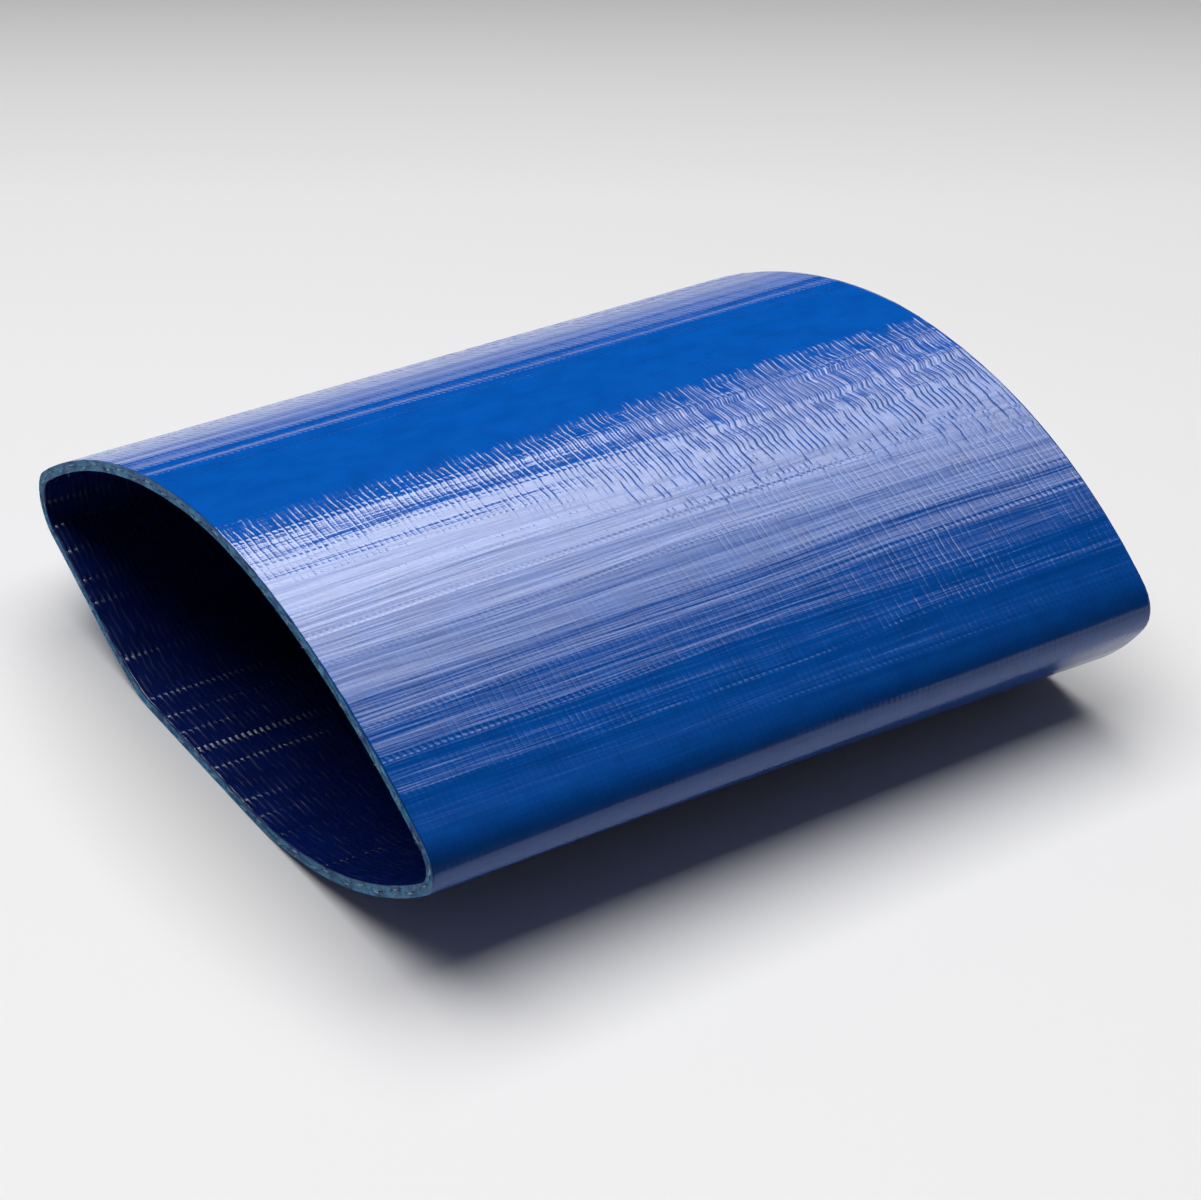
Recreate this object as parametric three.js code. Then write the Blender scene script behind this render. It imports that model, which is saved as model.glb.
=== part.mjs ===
// A cut length of PVC layflat hose, sprung half open on its two fold creases and lying on its belly.
// Millimetres. The hose runs along Y, +Z is up, and the origin is on the resting plane, under the
// middle of the piece. From outside to inside its wall is an outer cover, a ply of lengthwise
// yarns, a wound ply, a second ply of lengthwise yarns set between the first, and an inner liner.

import * as THREE from "three";

// Sizes of the whole piece
const WIDTH = 147; // from fold crease to fold crease
const LENGTH = 145; // between the two cuts

// Thickness of each layer of the wall, from the outside in, and the clearance between layers
const COVER_WALL = 0.55;
const WARP_THICKNESS = 0.25;
const WEFT_THICKNESS = 0.3;
const LINER_WALL = 0.4;
const LAYER_GAP = 0.06;

// Lengthwise yarns
const YARNS_PER_PLY = 26;
const YARN_WIDTH = 2.2;
const YARN_EDGE = 0.5; // how far its rounded edges reach in from its sides

// Every layer has the same facets: one under a yarn, one beside it, round both plies
const FACETS = 4 * YARNS_PER_PLY;
const LENGTH_STEPS = 6;

// The section at each cut. A crease is a small arc with its outermost point at edge, from which
// the two walls leave at an angle to the horizontal. The crown is the highest point, and the
// belly's flat runs between two values of x at z = 0. Pull is how far a wall runs level there, as
// a share of its width. The way round is the same at both cuts: the lower wall bulges more at the
// rear, so the left crease is drawn in there.
const FRONT_SECTION = {
  rightCrease: { edge: WIDTH / 2, height: 28, radius: 5.8, upperAngle: 34, lowerAngle: 38 },
  leftCrease: { edge: -WIDTH / 2, height: 24.5, radius: 8, upperAngle: 35, lowerAngle: 27 },
  crown: { x: 3, height: 55.5, pull: 0.22 },
  flat: { left: -30, right: 6, pull: 0.25 },
};
const REAR_SECTION = {
  rightCrease: { edge: WIDTH / 2, height: 25.5, radius: 6.7, upperAngle: 42, lowerAngle: 57 },
  leftCrease: { edge: -WIDTH / 2 + 2, height: 25, radius: 8, upperAngle: 34, lowerAngle: 30 },
  crown: { x: 3, height: 55.5, pull: 0.22 },
  flat: { left: -28, right: 18, pull: 0.42 },
};

// How far a wall runs straight on from a crease, as a share of its width
const CREASE_PULL = 0.48;

const COVER_PVC = { color: 0x0a4db0, roughness: 0.22, metalness: 0 };
const LINER_PVC = { color: 0x0a2460, roughness: 0.35, metalness: 0 };
const POLYESTER = { color: 0xd6dade, roughness: 0.85, metalness: 0 };

const radians = THREE.MathUtils.degToRad;
const lerp = THREE.MathUtils.lerp;

// A section between the two cuts, share 0 at the front and 1 at the rear.
function sectionAt(share, front = FRONT_SECTION, rear = REAR_SECTION) {
  return Object.fromEntries(
    Object.entries(front).map(([name, value]) => [
      name,
      typeof value === "number" ? lerp(value, rear[name], share) : sectionAt(share, value, rear[name]),
    ]),
  );
}

// The arc of a fold crease. side is 1 on the right and -1 on the left.
function creaseArc(crease, side) {
  const centre = new THREE.Vector2(crease.edge - side * crease.radius, crease.height);
  const up = Math.PI / 2 - radians(crease.upperAngle);
  const down = radians(crease.lowerAngle) - Math.PI / 2;
  const pointAt = (angle) =>
    new THREE.Vector2(side * Math.cos(angle), Math.sin(angle)).multiplyScalar(crease.radius).add(centre);
  return { centre, up, down, top: pointAt(up), bottom: pointAt(down) };
}

// Half of a wall, from a crease to the place where it runs level.
function wallCurve(from, angle, side, level, pull) {
  const width = Math.abs(level.x - from.x);
  const reach = CREASE_PULL * width;
  const leave = new THREE.Vector2(-side * Math.cos(angle), Math.sin(angle)).multiplyScalar(reach).add(from);
  const arrive = new THREE.Vector2(level.x + side * pull * width, level.y);
  return new THREE.CubicBezierCurve(from, leave, arrive, level);
}

function reversed(curve) {
  return new THREE.CubicBezierCurve(curve.v3, curve.v2, curve.v1, curve.v0);
}

// The outer edge of a section, anticlockwise from the middle of the right crease.
function outline(section) {
  const { rightCrease, leftCrease, crown, flat } = section;
  const right = creaseArc(rightCrease, 1);
  const left = creaseArc(leftCrease, -1);
  const top = new THREE.Vector2(crown.x, crown.height);
  const flatLeft = new THREE.Vector2(flat.left, 0);
  const flatRight = new THREE.Vector2(flat.right, 0);
  const arc = (crease, radius, from, to) =>
    new THREE.EllipseCurve(crease.centre.x, crease.centre.y, radius, radius, from, to, false, 0);
  const path = new THREE.CurvePath();
  path.add(arc(right, rightCrease.radius, 0, right.up));
  path.add(wallCurve(right.top, radians(rightCrease.upperAngle), 1, top, crown.pull));
  path.add(reversed(wallCurve(left.top, radians(leftCrease.upperAngle), -1, top, crown.pull)));
  path.add(arc(left, leftCrease.radius, Math.PI - left.up, Math.PI - left.down));
  path.add(wallCurve(left.bottom, -radians(leftCrease.lowerAngle), -1, flatLeft, flat.pull));
  path.add(new THREE.LineCurve(flatLeft, flatRight));
  path.add(reversed(wallCurve(right.bottom, -radians(rightCrease.lowerAngle), 1, flatRight, flat.pull)));
  path.add(arc(right, rightCrease.radius, right.down, 0));
  return path;
}

// The inward normal of the facet that starts at each corner of a closed polygon.
function facetNormals(corners) {
  return corners.map((corner, i) => {
    const along = corners[(i + 1) % corners.length].clone().sub(corner).normalize();
    return new THREE.Vector2(-along.y, along.x);
  });
}

// The same polygon with every facet moved inwards by a depth.
function movedIn(corners, depth) {
  const normals = facetNormals(corners);
  return corners.map((corner, i) => {
    const before = normals[(i + corners.length - 1) % corners.length];
    const mitre = before.clone().add(normals[i]).normalize();
    return mitre.clone().multiplyScalar(depth / mitre.dot(normals[i])).add(corner);
  });
}

const stations = Array.from({ length: LENGTH_STEPS + 1 }, (_, i) => {
  const share = i / LENGTH_STEPS;
  const corners = outline(sectionAt(share)).getSpacedPoints(FACETS).slice(0, FACETS);
  return { y: (share - 0.5) * LENGTH, corners };
});

// A closed solid through rings of points. loops(station) gives the rings at that station, in
// which a tube has an outer ring and an inner one, and a bar has one ring and flat ends.
function loft(loops) {
  const positions = [];
  const triangles = [];
  const rings = stations.map((station) =>
    loops(station).map((ring) =>
      ring.map((point) => positions.push(point.x, station.y, point.y) / 3 - 1),
    ),
  );
  const quad = (a, b, c, d) => triangles.push(a, b, c, a, c, d);
  const sides = rings[0].map((ring) => ring.length);
  sides.forEach((count, k) => {
    for (let j = 0; j < LENGTH_STEPS; j++) {
      for (let i = 0; i < count; i++) {
        const next = (i + 1) % count;
        const here = rings[j][k];
        const ahead = rings[j + 1][k];
        if (k === 0) quad(here[i], ahead[i], ahead[next], here[next]);
        else quad(here[next], ahead[next], ahead[i], here[i]);
      }
    }
  });
  const front = rings[0];
  const rear = rings[LENGTH_STEPS];
  if (front.length === 2) {
    for (let i = 0; i < FACETS; i++) {
      const next = (i + 1) % FACETS;
      quad(front[0][i], front[0][next], front[1][next], front[1][i]);
      quad(rear[0][next], rear[0][i], rear[1][i], rear[1][next]);
    }
  } else {
    for (let i = 1; i < sides[0] - 1; i++) {
      triangles.push(front[0][0], front[0][i], front[0][i + 1]);
      triangles.push(rear[0][0], rear[0][i + 1], rear[0][i]);
    }
  }
  const geometry = new THREE.BufferGeometry();
  geometry.setAttribute("position", new THREE.Float32BufferAttribute(positions, 3));
  geometry.setIndex(triangles);
  return geometry;
}

// A layer that goes all the way round, from one depth in the wall to another.
function tube(depth, thickness) {
  return loft(({ corners }) => [movedIn(corners, depth), movedIn(corners, depth + thickness)]);
}

// A flattened yarn that lies along one facet.
function yarn(facet, depth) {
  const half = YARN_WIDTH / 2;
  const flat = half - YARN_EDGE;
  const middle = WARP_THICKNESS / 2;
  const profile = [
    [-half, middle],
    [-flat, 0],
    [flat, 0],
    [half, middle],
    [flat, WARP_THICKNESS],
    [-flat, WARP_THICKNESS],
  ];
  return loft(({ corners }) => {
    const from = corners[facet];
    const to = corners[(facet + 1) % FACETS];
    const along = to.clone().sub(from).normalize();
    const inwards = new THREE.Vector2(-along.y, along.x);
    const centre = from.clone().add(to).multiplyScalar(0.5);
    return [
      profile.map(([across, deep]) =>
        centre.clone().addScaledVector(along, across).addScaledVector(inwards, depth + deep),
      ),
    ];
  });
}

const hose = new THREE.Group();

function addPiece(name, geometry, finish) {
  geometry.computeVertexNormals();
  const piece = new THREE.Mesh(geometry, new THREE.MeshStandardMaterial(finish));
  piece.name = name;
  hose.add(piece);
}

function addWarpPly(ply, depth, firstFacet) {
  for (let i = 0; i < YARNS_PER_PLY; i++) {
    const number = String(i + 1).padStart(2, "0");
    addPiece(`${ply}_warp_yarn_${number}`, yarn(firstFacet + 4 * i, depth), POLYESTER);
  }
}

const outerWarpDepth = COVER_WALL + LAYER_GAP;
const weftDepth = outerWarpDepth + WARP_THICKNESS + LAYER_GAP;
const innerWarpDepth = weftDepth + WEFT_THICKNESS + LAYER_GAP;
const linerDepth = innerWarpDepth + WARP_THICKNESS + LAYER_GAP;

addPiece("outer_cover", tube(0, COVER_WALL), COVER_PVC);
addWarpPly("outer", outerWarpDepth, 0);
addPiece("weft_winding", tube(weftDepth, WEFT_THICKNESS), POLYESTER);
addWarpPly("inner", innerWarpDepth, 2);
addPiece("inner_liner", tube(linerDepth, LINER_WALL), LINER_PVC);

export default hose;
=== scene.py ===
"""Looks of a short cut length of blue layflat delivery hose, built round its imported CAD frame.

The hose is a tube that was pressed flat and has sprung half open. From outside to inside its wall
is a glossy PVC cover, warp yarns along the hose, one weft yarn wound round it, more warp yarns and
a PVC liner. Sizes are in metres. A turn is a share of the way round the hose, from the middle of
the right-hand crease over the top, and a share along it runs from the front cut to the rear cut.
"""

import logging
import math
from dataclasses import dataclass, field, fields, replace
from enum import Enum

import bpy
import numpy as np
from mathutils import Matrix, Vector


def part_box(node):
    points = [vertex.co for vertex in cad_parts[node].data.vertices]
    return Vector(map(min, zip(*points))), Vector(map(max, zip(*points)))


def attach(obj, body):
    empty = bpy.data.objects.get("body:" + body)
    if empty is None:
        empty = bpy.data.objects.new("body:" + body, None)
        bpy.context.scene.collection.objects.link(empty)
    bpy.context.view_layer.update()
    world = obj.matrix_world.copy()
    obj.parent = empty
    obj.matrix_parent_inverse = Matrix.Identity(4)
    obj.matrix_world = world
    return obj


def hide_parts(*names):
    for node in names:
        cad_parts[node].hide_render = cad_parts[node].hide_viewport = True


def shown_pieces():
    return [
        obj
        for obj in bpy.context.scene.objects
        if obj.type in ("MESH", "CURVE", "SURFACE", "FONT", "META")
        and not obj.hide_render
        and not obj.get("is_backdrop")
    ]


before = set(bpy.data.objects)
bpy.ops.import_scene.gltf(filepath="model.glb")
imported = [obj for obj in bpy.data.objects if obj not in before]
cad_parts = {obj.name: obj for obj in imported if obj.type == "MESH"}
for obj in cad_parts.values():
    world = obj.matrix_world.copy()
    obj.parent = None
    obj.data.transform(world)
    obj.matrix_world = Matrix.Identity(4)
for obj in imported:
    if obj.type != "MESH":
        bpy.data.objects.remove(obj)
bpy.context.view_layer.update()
LOG = logging.getLogger("layflat_hose")

COVER_NODE = "outer_cover"
LINER_NODE = "inner_liner"
WEFT_NODE = "weft_winding"
WARP_LINES = 52
WEFT_RIDGES = 121
FLOOR_GAP = 0.00002
HAIR_FLOOR_GAP = 0.0001


class Ply(Enum):
    """The two plies of warp yarns, one on each side of the weft."""

    OUTER = "outer_warp_yarn"
    INNER = "inner_warp_yarn"


class Slot(Enum):
    """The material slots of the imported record."""

    COVER = "cover_pvc"
    LINER = "liner_pvc"
    YARN = "polyester_yarn"


# ---------------------------------------------------------------- shape of the section


@dataclass(frozen=True)
class Crease:
    """A fold of the pressed tube: a part-round bend between the upper and lower walls."""

    edge: float
    height: float
    radius: float
    upper_angle: float
    lower_angle: float

    def centre(self, side: int) -> np.ndarray:
        """The centre of the bend, where side is 1 on the right and -1 on the left."""
        return np.array([self.edge - side * self.radius, self.height])

    def arc(self, side: int, start: float, end: float, steps: int = 200) -> np.ndarray:
        """Points round the bend.

        Args:
            side: 1 for the right-hand crease, -1 for the left-hand one.
            start: First angle, in radians.
            end: Last angle, in radians.
            steps: How many points to give.

        Returns:
            The points, one to a row.
        """
        angle = np.linspace(start, end, steps)
        return self.centre(side) + self.radius * np.c_[np.cos(angle), np.sin(angle)]


def bezier(points: list[np.ndarray], steps: int = 600) -> np.ndarray:
    """Points along a cubic curve.

    Args:
        points: The curve's four control points.
        steps: How many points to give.

    Returns:
        The points, one to a row.
    """
    t = np.linspace(0.0, 1.0, steps)[:, None]
    a, b, c, d = points
    return a * (1 - t) ** 3 + 3 * b * t * (1 - t) ** 2 + 3 * c * t * t * (1 - t) + d * t**3


@dataclass(frozen=True)
class Section:
    """The outer outline of the hose at one cut, between its two creases."""

    right: Crease
    left: Crease
    crown_x: float
    crown_height: float
    crown_pull: float
    flat_left: float
    flat_right: float
    flat_pull: float
    crease_pull: float = 0.48

    def wall(self, start: np.ndarray, angle: float, side: int, level: np.ndarray,
             pull: float) -> np.ndarray:
        """Half a wall, from a crease to the place where it runs level.

        Args:
            start: Where the wall leaves the crease.
            angle: How steeply it leaves, in radians.
            side: 1 on the right and -1 on the left.
            level: The point where the wall runs level.
            pull: How far the level end's handle reaches, as a share of the half wall's width.

        Returns:
            The points, one to a row.
        """
        width = abs(level[0] - start[0])
        leaving = np.array([-side * math.cos(angle), math.sin(angle)]) * self.crease_pull * width
        arriving = np.array([side * pull * width, 0.0])
        return bezier([start, start + leaving, level + arriving, level])

    def outline(self) -> np.ndarray:
        """Closely spaced points all round the outside, anticlockwise from the right crease."""
        quarter = math.pi / 2
        up_r, down_r = (quarter - math.radians(self.right.upper_angle),
                        math.radians(self.right.lower_angle) - quarter)
        up_l, down_l = (quarter - math.radians(self.left.upper_angle),
                        math.radians(self.left.lower_angle) - quarter)
        crown = np.array([self.crown_x, self.crown_height])
        flat_left, flat_right = np.array([self.flat_left, 0.0]), np.array([self.flat_right, 0.0])
        arcs = [self.right.arc(1, 0.0, up_r), self.left.arc(-1, math.pi - up_l, math.pi - down_l),
                self.right.arc(1, down_r, 0.0)]
        parts = [
            arcs[0],
            self.wall(arcs[0][-1], math.radians(self.right.upper_angle), 1, crown,
                      self.crown_pull),
            self.wall(arcs[1][0], math.radians(self.left.upper_angle), -1, crown,
                      self.crown_pull)[::-1],
            arcs[1],
            self.wall(arcs[1][-1], -math.radians(self.left.lower_angle), -1, flat_left,
                      self.flat_pull),
            np.array([flat_left, flat_right]),
            self.wall(arcs[2][0], -math.radians(self.right.lower_angle), 1, flat_right,
                      self.flat_pull)[::-1],
            arcs[2],
        ]
        return np.vstack(parts)


def blend_sizes(front: object, rear: object, share: float) -> object:
    """A dataclass of sizes part of the way from one to another of the same kind."""
    mixed = {}
    for item in fields(front):
        a, b = getattr(front, item.name), getattr(rear, item.name)
        mixed[item.name] = a + (b - a) * share if isinstance(a, float) else blend_sizes(a, b, share)
    return replace(front, **mixed)


@dataclass
class HoseShape:
    """The outlines that every layer of the wall follows.

    The width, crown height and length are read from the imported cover's box. The other sizes of
    the two cuts repeat the CAD part's own driving values.
    """

    node: str = COVER_NODE
    stations: int = 41
    samples: int = 2048
    rings: np.ndarray = field(init=False)
    normals: np.ndarray = field(init=False)
    front_y: float = field(init=False)
    length: float = field(init=False)
    perimeter: float = field(init=False)

    def __post_init__(self) -> None:
        """Works out the outline and its outward normals at every station."""
        low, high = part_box(self.node)
        self.front_y, self.length = low.y, high.y - low.y
        front, rear = self.cuts(half=high.x, top=high.z)
        rings, normals, lengths = [], [], []
        for share in np.linspace(0.0, 1.0, self.stations):
            ring, around = self.even(blend_sizes(front, rear, float(share)).outline())
            along = np.roll(ring, -1, 0) - np.roll(ring, 1, 0)
            along /= np.linalg.norm(along, axis=1)[:, None]
            rings.append(ring)
            normals.append(np.c_[along[:, 1], -along[:, 0]])
            lengths.append(around)
        self.rings, self.normals = np.array(rings), np.array(normals)
        self.perimeter = float(np.mean(lengths))

    def cuts(self, half: float, top: float) -> tuple[Section, Section]:
        """The outlines of the two cuts.

        Args:
            half: Half the width between the creases.
            top: The height of the crown.

        Returns:
            The front cut's outline and the rear cut's.
        """
        front = Section(
            right=Crease(edge=half, height=0.0280, radius=0.0058, upper_angle=34.0,
                         lower_angle=38.0),
            left=Crease(edge=-half, height=0.0245, radius=0.0080, upper_angle=35.0,
                        lower_angle=27.0),
            crown_x=0.003, crown_height=top, crown_pull=0.22,
            flat_left=-0.030, flat_right=0.006, flat_pull=0.25)
        rear = Section(
            right=Crease(edge=half, height=0.0255, radius=0.0067, upper_angle=42.0,
                         lower_angle=57.0),
            left=Crease(edge=0.002 - half, height=0.0250, radius=0.0080, upper_angle=34.0,
                        lower_angle=30.0),
            crown_x=0.003, crown_height=top, crown_pull=0.22,
            flat_left=-0.028, flat_right=0.018, flat_pull=0.42)
        return front, rear

    def even(self, points: np.ndarray) -> tuple[np.ndarray, float]:
        """The same closed outline with evenly spaced points.

        Args:
            points: The outline, with uneven spacing.

        Returns:
            The evenly spaced points, and the distance all the way round.
        """
        closed = np.vstack([points, points[:1]])
        steps = np.linalg.norm(np.diff(closed, axis=0), axis=1)
        kept = np.r_[True, steps > 1e-9]
        walked = np.r_[0.0, np.cumsum(steps)][kept]
        closed = closed[kept]
        place = np.linspace(0.0, walked[-1], self.samples, endpoint=False)
        ring = np.c_[np.interp(place, walked, closed[:, 0]), np.interp(place, walked, closed[:, 1])]
        return ring, float(walked[-1])

    def place(self, turn: np.ndarray, share: np.ndarray, depth: np.ndarray) -> np.ndarray:
        """Points in the wall.

        Args:
            turn: How far round the hose, from 0 to 1.
            share: How far along the hose, from 0 at the front cut to 1 at the rear cut.
            depth: How far inwards from the outer face, in metres.

        Returns:
            The points, with the same shape as the inputs and a last axis of x, y and z.
        """
        turn, share, depth = np.broadcast_arrays(turn, share, depth)
        row = np.clip(share, 0.0, 1.0) * (self.stations - 1)
        row_low = np.minimum(row.astype(int), self.stations - 2)
        row_part = (row - row_low)[..., None]
        column = np.mod(turn, 1.0) * self.samples
        column_low = column.astype(int) % self.samples
        column_part = (column - np.floor(column))[..., None]
        column_next = (column_low + 1) % self.samples

        def mixed(table: np.ndarray) -> np.ndarray:
            """A table of values read between its rows and columns."""
            near = table[row_low, column_low] * (1 - column_part)
            near = near + table[row_low, column_next] * column_part
            far = table[row_low + 1, column_low] * (1 - column_part)
            far = far + table[row_low + 1, column_next] * column_part
            return near * (1 - row_part) + far * row_part

        flat = mixed(self.rings) - mixed(self.normals) * depth[..., None]
        y = self.front_y + share * self.length
        return np.stack([flat[..., 0], y, flat[..., 1]], axis=-1)


# ---------------------------------------------------------------- the weave that prints through


@dataclass
class SmoothNoise:
    """Seeded noise from -1 to 1 that closes up round the hose."""

    cells_round: int
    cells_along: int
    seed: int
    grid: np.ndarray = field(init=False)

    def __post_init__(self) -> None:
        """Draws the random value of each cell's corner."""
        draw = np.random.default_rng(self.seed)
        self.grid = draw.uniform(-1.0, 1.0, (self.cells_round, self.cells_along + 2))

    def at(self, turn: np.ndarray, share: np.ndarray) -> np.ndarray:
        """The noise at places given by their turn and their share along the hose."""
        turn, share = np.broadcast_arrays(turn, share)
        across = np.mod(turn, 1.0) * self.cells_round
        along = np.clip(share, 0.0, 1.0) * self.cells_along
        i, j = across.astype(int) % self.cells_round, along.astype(int)
        u, v = across - np.floor(across), along - j
        u, v = u * u * (3 - 2 * u), v * v * (3 - 2 * v)
        after = (i + 1) % self.cells_round
        low = self.grid[i, j] * (1 - u) + self.grid[after, j] * u
        high = self.grid[i, j + 1] * (1 - u) + self.grid[after, j + 1] * u
        return low * (1 - v) + high * v


def smooth_step(low: float, high: float, value: np.ndarray) -> np.ndarray:
    """A smooth rise from 0 at low to 1 at high."""
    t = np.clip((value - low) / (high - low), 0.0, 1.0)
    return t * t * (3 - 2 * t)


@dataclass
class Weave:
    """Where the yarns run, and how they print through to the two faces of the wall.

    The pairs of turns or shares are where a smooth rise starts and where it is complete, which
    runs backwards where the second is the lower. A range is a least or middle value, and what is
    added to it at most.
    """

    shape: HoseShape
    warp_drift: float = 0.0006
    wander: float = 0.00030
    hook: float = 0.00034
    warp_print: float = 0.000105
    groove: float = 0.000125
    swell: float = 0.000024
    edge_calm: float = 0.03
    rear_shares: tuple = (0.22, 0.80)
    strong_turn: float = 0.200
    strong_reach: float = 0.050
    teeth_turn: float = 0.228
    teeth_reach: float = 0.013
    teeth_weave: float = 0.30
    crown_calm: float = 0.86
    crown_turns: tuple = (0.218, 0.243)
    crown_end_turns: tuple = (0.42, 0.34)
    far_weave: float = 0.30
    far_turns: tuple = (0.34, 0.44)
    far_end_turns: tuple = (0.98, 0.88)
    fold_calm: float = 0.65
    fold_turns: tuple = (0.045, 0.015)
    rear_weave: float = 0.95
    rear_range: tuple = (0.04, 0.96)
    plain_weave: float = 0.02
    mottled_weave: float = 0.07
    mottle_range: tuple = (0.4, 1.0)
    sway_parts: tuple = (0.75, 0.45)
    sway_range: tuple = (0.10, 1.05)
    bend_range: tuple = (0.55, 0.75)
    half_bend: float = 0.45
    print_range: tuple = (0.8, 0.5)
    groove_dashes: tuple = (0.06, 0.94)
    groove_range: tuple = (0.02, 1.15)
    seed: int = 11
    slow: SmoothNoise = field(init=False)
    jog: SmoothNoise = field(init=False)
    fine_jog: SmoothNoise = field(init=False)
    patch: SmoothNoise = field(init=False)
    hooks: SmoothNoise = field(init=False)
    dash: SmoothNoise = field(init=False)
    line_offset: np.ndarray = field(init=False)
    line_strength: np.ndarray = field(init=False)

    def __post_init__(self) -> None:
        """Draws the seeded unevenness of the weave."""
        self.slow = SmoothNoise(WARP_LINES, 4, self.seed)
        self.jog = SmoothNoise(WARP_LINES, 46, self.seed + 1)
        self.fine_jog = SmoothNoise(2 * WARP_LINES, 90, self.seed + 2)
        self.patch = SmoothNoise(14, 9, self.seed + 3)
        self.dash = SmoothNoise(2 * WARP_LINES, WEFT_RIDGES, self.seed + 4)
        draw = np.random.default_rng(self.seed + 5)
        self.hooks = SmoothNoise(26, 30, self.seed + 6)
        self.line_offset = draw.uniform(-0.09, 0.09, WARP_LINES)
        self.line_strength = draw.uniform(0.25, 1.25, WARP_LINES)

    def line_turn(self, line: np.ndarray, share: np.ndarray) -> np.ndarray:
        """The turn at which a warp line lies, with its slight drift along the hose."""
        line = np.asarray(line)
        base = (line + 0.25 + self.line_offset[line % WARP_LINES]) / WARP_LINES
        return base + self.slow.at(base, share) * self.warp_drift / self.shape.perimeter

    def strength(self, turn: np.ndarray, share: np.ndarray) -> np.ndarray:
        """How strongly the weft shows, from 0 to 1: it is strong to the rear and faint in front."""
        turn = np.mod(turn, 1.0)
        rear_least, rear_more = self.rear_range
        mottle_middle, mottle_more = self.mottle_range
        strong = np.exp(-(((turn - self.strong_turn) / self.strong_reach) ** 2))
        rear = smooth_step(*self.rear_shares, share) * (rear_least + rear_more * strong)
        mottled = mottle_middle + mottle_more * self.patch.at(turn, share)
        teeth = np.exp(-(((turn - self.teeth_turn) / self.teeth_reach) ** 2))
        far_side = smooth_step(*self.far_turns, turn) * smooth_step(*self.far_end_turns, turn)
        over_crown = 1.0 - (self.crown_calm * smooth_step(*self.crown_turns, turn)
                            * smooth_step(*self.crown_end_turns, turn))
        off_fold = np.minimum(turn, 1.0 - turn)
        at_fold = 1.0 - self.fold_calm * smooth_step(*self.fold_turns, off_fold)
        shown = (self.plain_weave + self.rear_weave * rear + self.mottled_weave * mottled
                 + self.teeth_weave * teeth + self.far_weave * far_side)
        return np.clip(shown * over_crown * at_fold, 0.0, 1.0)

    def weft_share(self, ridge: np.ndarray, turn: np.ndarray) -> np.ndarray:
        """The share along the hose of a wandering weft line.

        Args:
            ridge: The line's number, counted from the front cut, which may lie between two lines.
            turn: How far round the hose.

        Returns:
            The share along the hose.
        """
        straight = ridge / WEFT_RIDGES
        calm = (smooth_step(0.0, self.edge_calm, straight)
                * smooth_step(0.0, self.edge_calm, 1.0 - straight))
        coarse, fine = self.sway_parts
        sway = coarse * self.jog.at(turn, straight) + fine * self.fine_jog.at(turn, straight)
        sway_least, sway_more = self.sway_range
        strong = sway_least + sway_more * self.strength(turn, straight)
        wave = 2 * math.pi * turn * WARP_LINES
        uneven = self.hooks.at(turn, straight)
        bend_middle, bend_more = self.bend_range
        bend = np.sin(wave) + self.half_bend * np.sin(2 * wave + 2.0 * uneven)
        bend = bend * (bend_middle + bend_more * uneven)
        shift = (self.wander * sway + self.hook * bend) * strong
        return straight + calm * shift / self.shape.length

    def print_height(self, line: np.ndarray, bump: np.ndarray, turn: np.ndarray,
                     share: np.ndarray) -> np.ndarray:
        """How far a warp line lifts the face.

        Args:
            line: The nearest warp line's number.
            bump: 1 over the yarn, falling below 0 between yarns.
            turn: How far round the hose.
            share: How far along it.

        Returns:
            The lift, in metres.
        """
        middle, more = self.print_range
        uneven = middle + more * self.slow.at(turn, share)
        return self.warp_print * self.line_strength[line % WARP_LINES] * uneven * bump

    def groove_depth(self, turn: np.ndarray, share: np.ndarray) -> np.ndarray:
        """How deep the groove between two weft turns is, broken into short dashes."""
        strength = self.strength(turn, share)
        broken = smooth_step(0.25, -0.25, self.dash.at(turn, share) - 0.9 * (strength - 0.5))
        dash_least, dash_more = self.groove_dashes
        least, more = self.groove_range
        return self.groove * (dash_least + dash_more * broken) * (least + more * strength)


# ---------------------------------------------------------------- finishes


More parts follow.
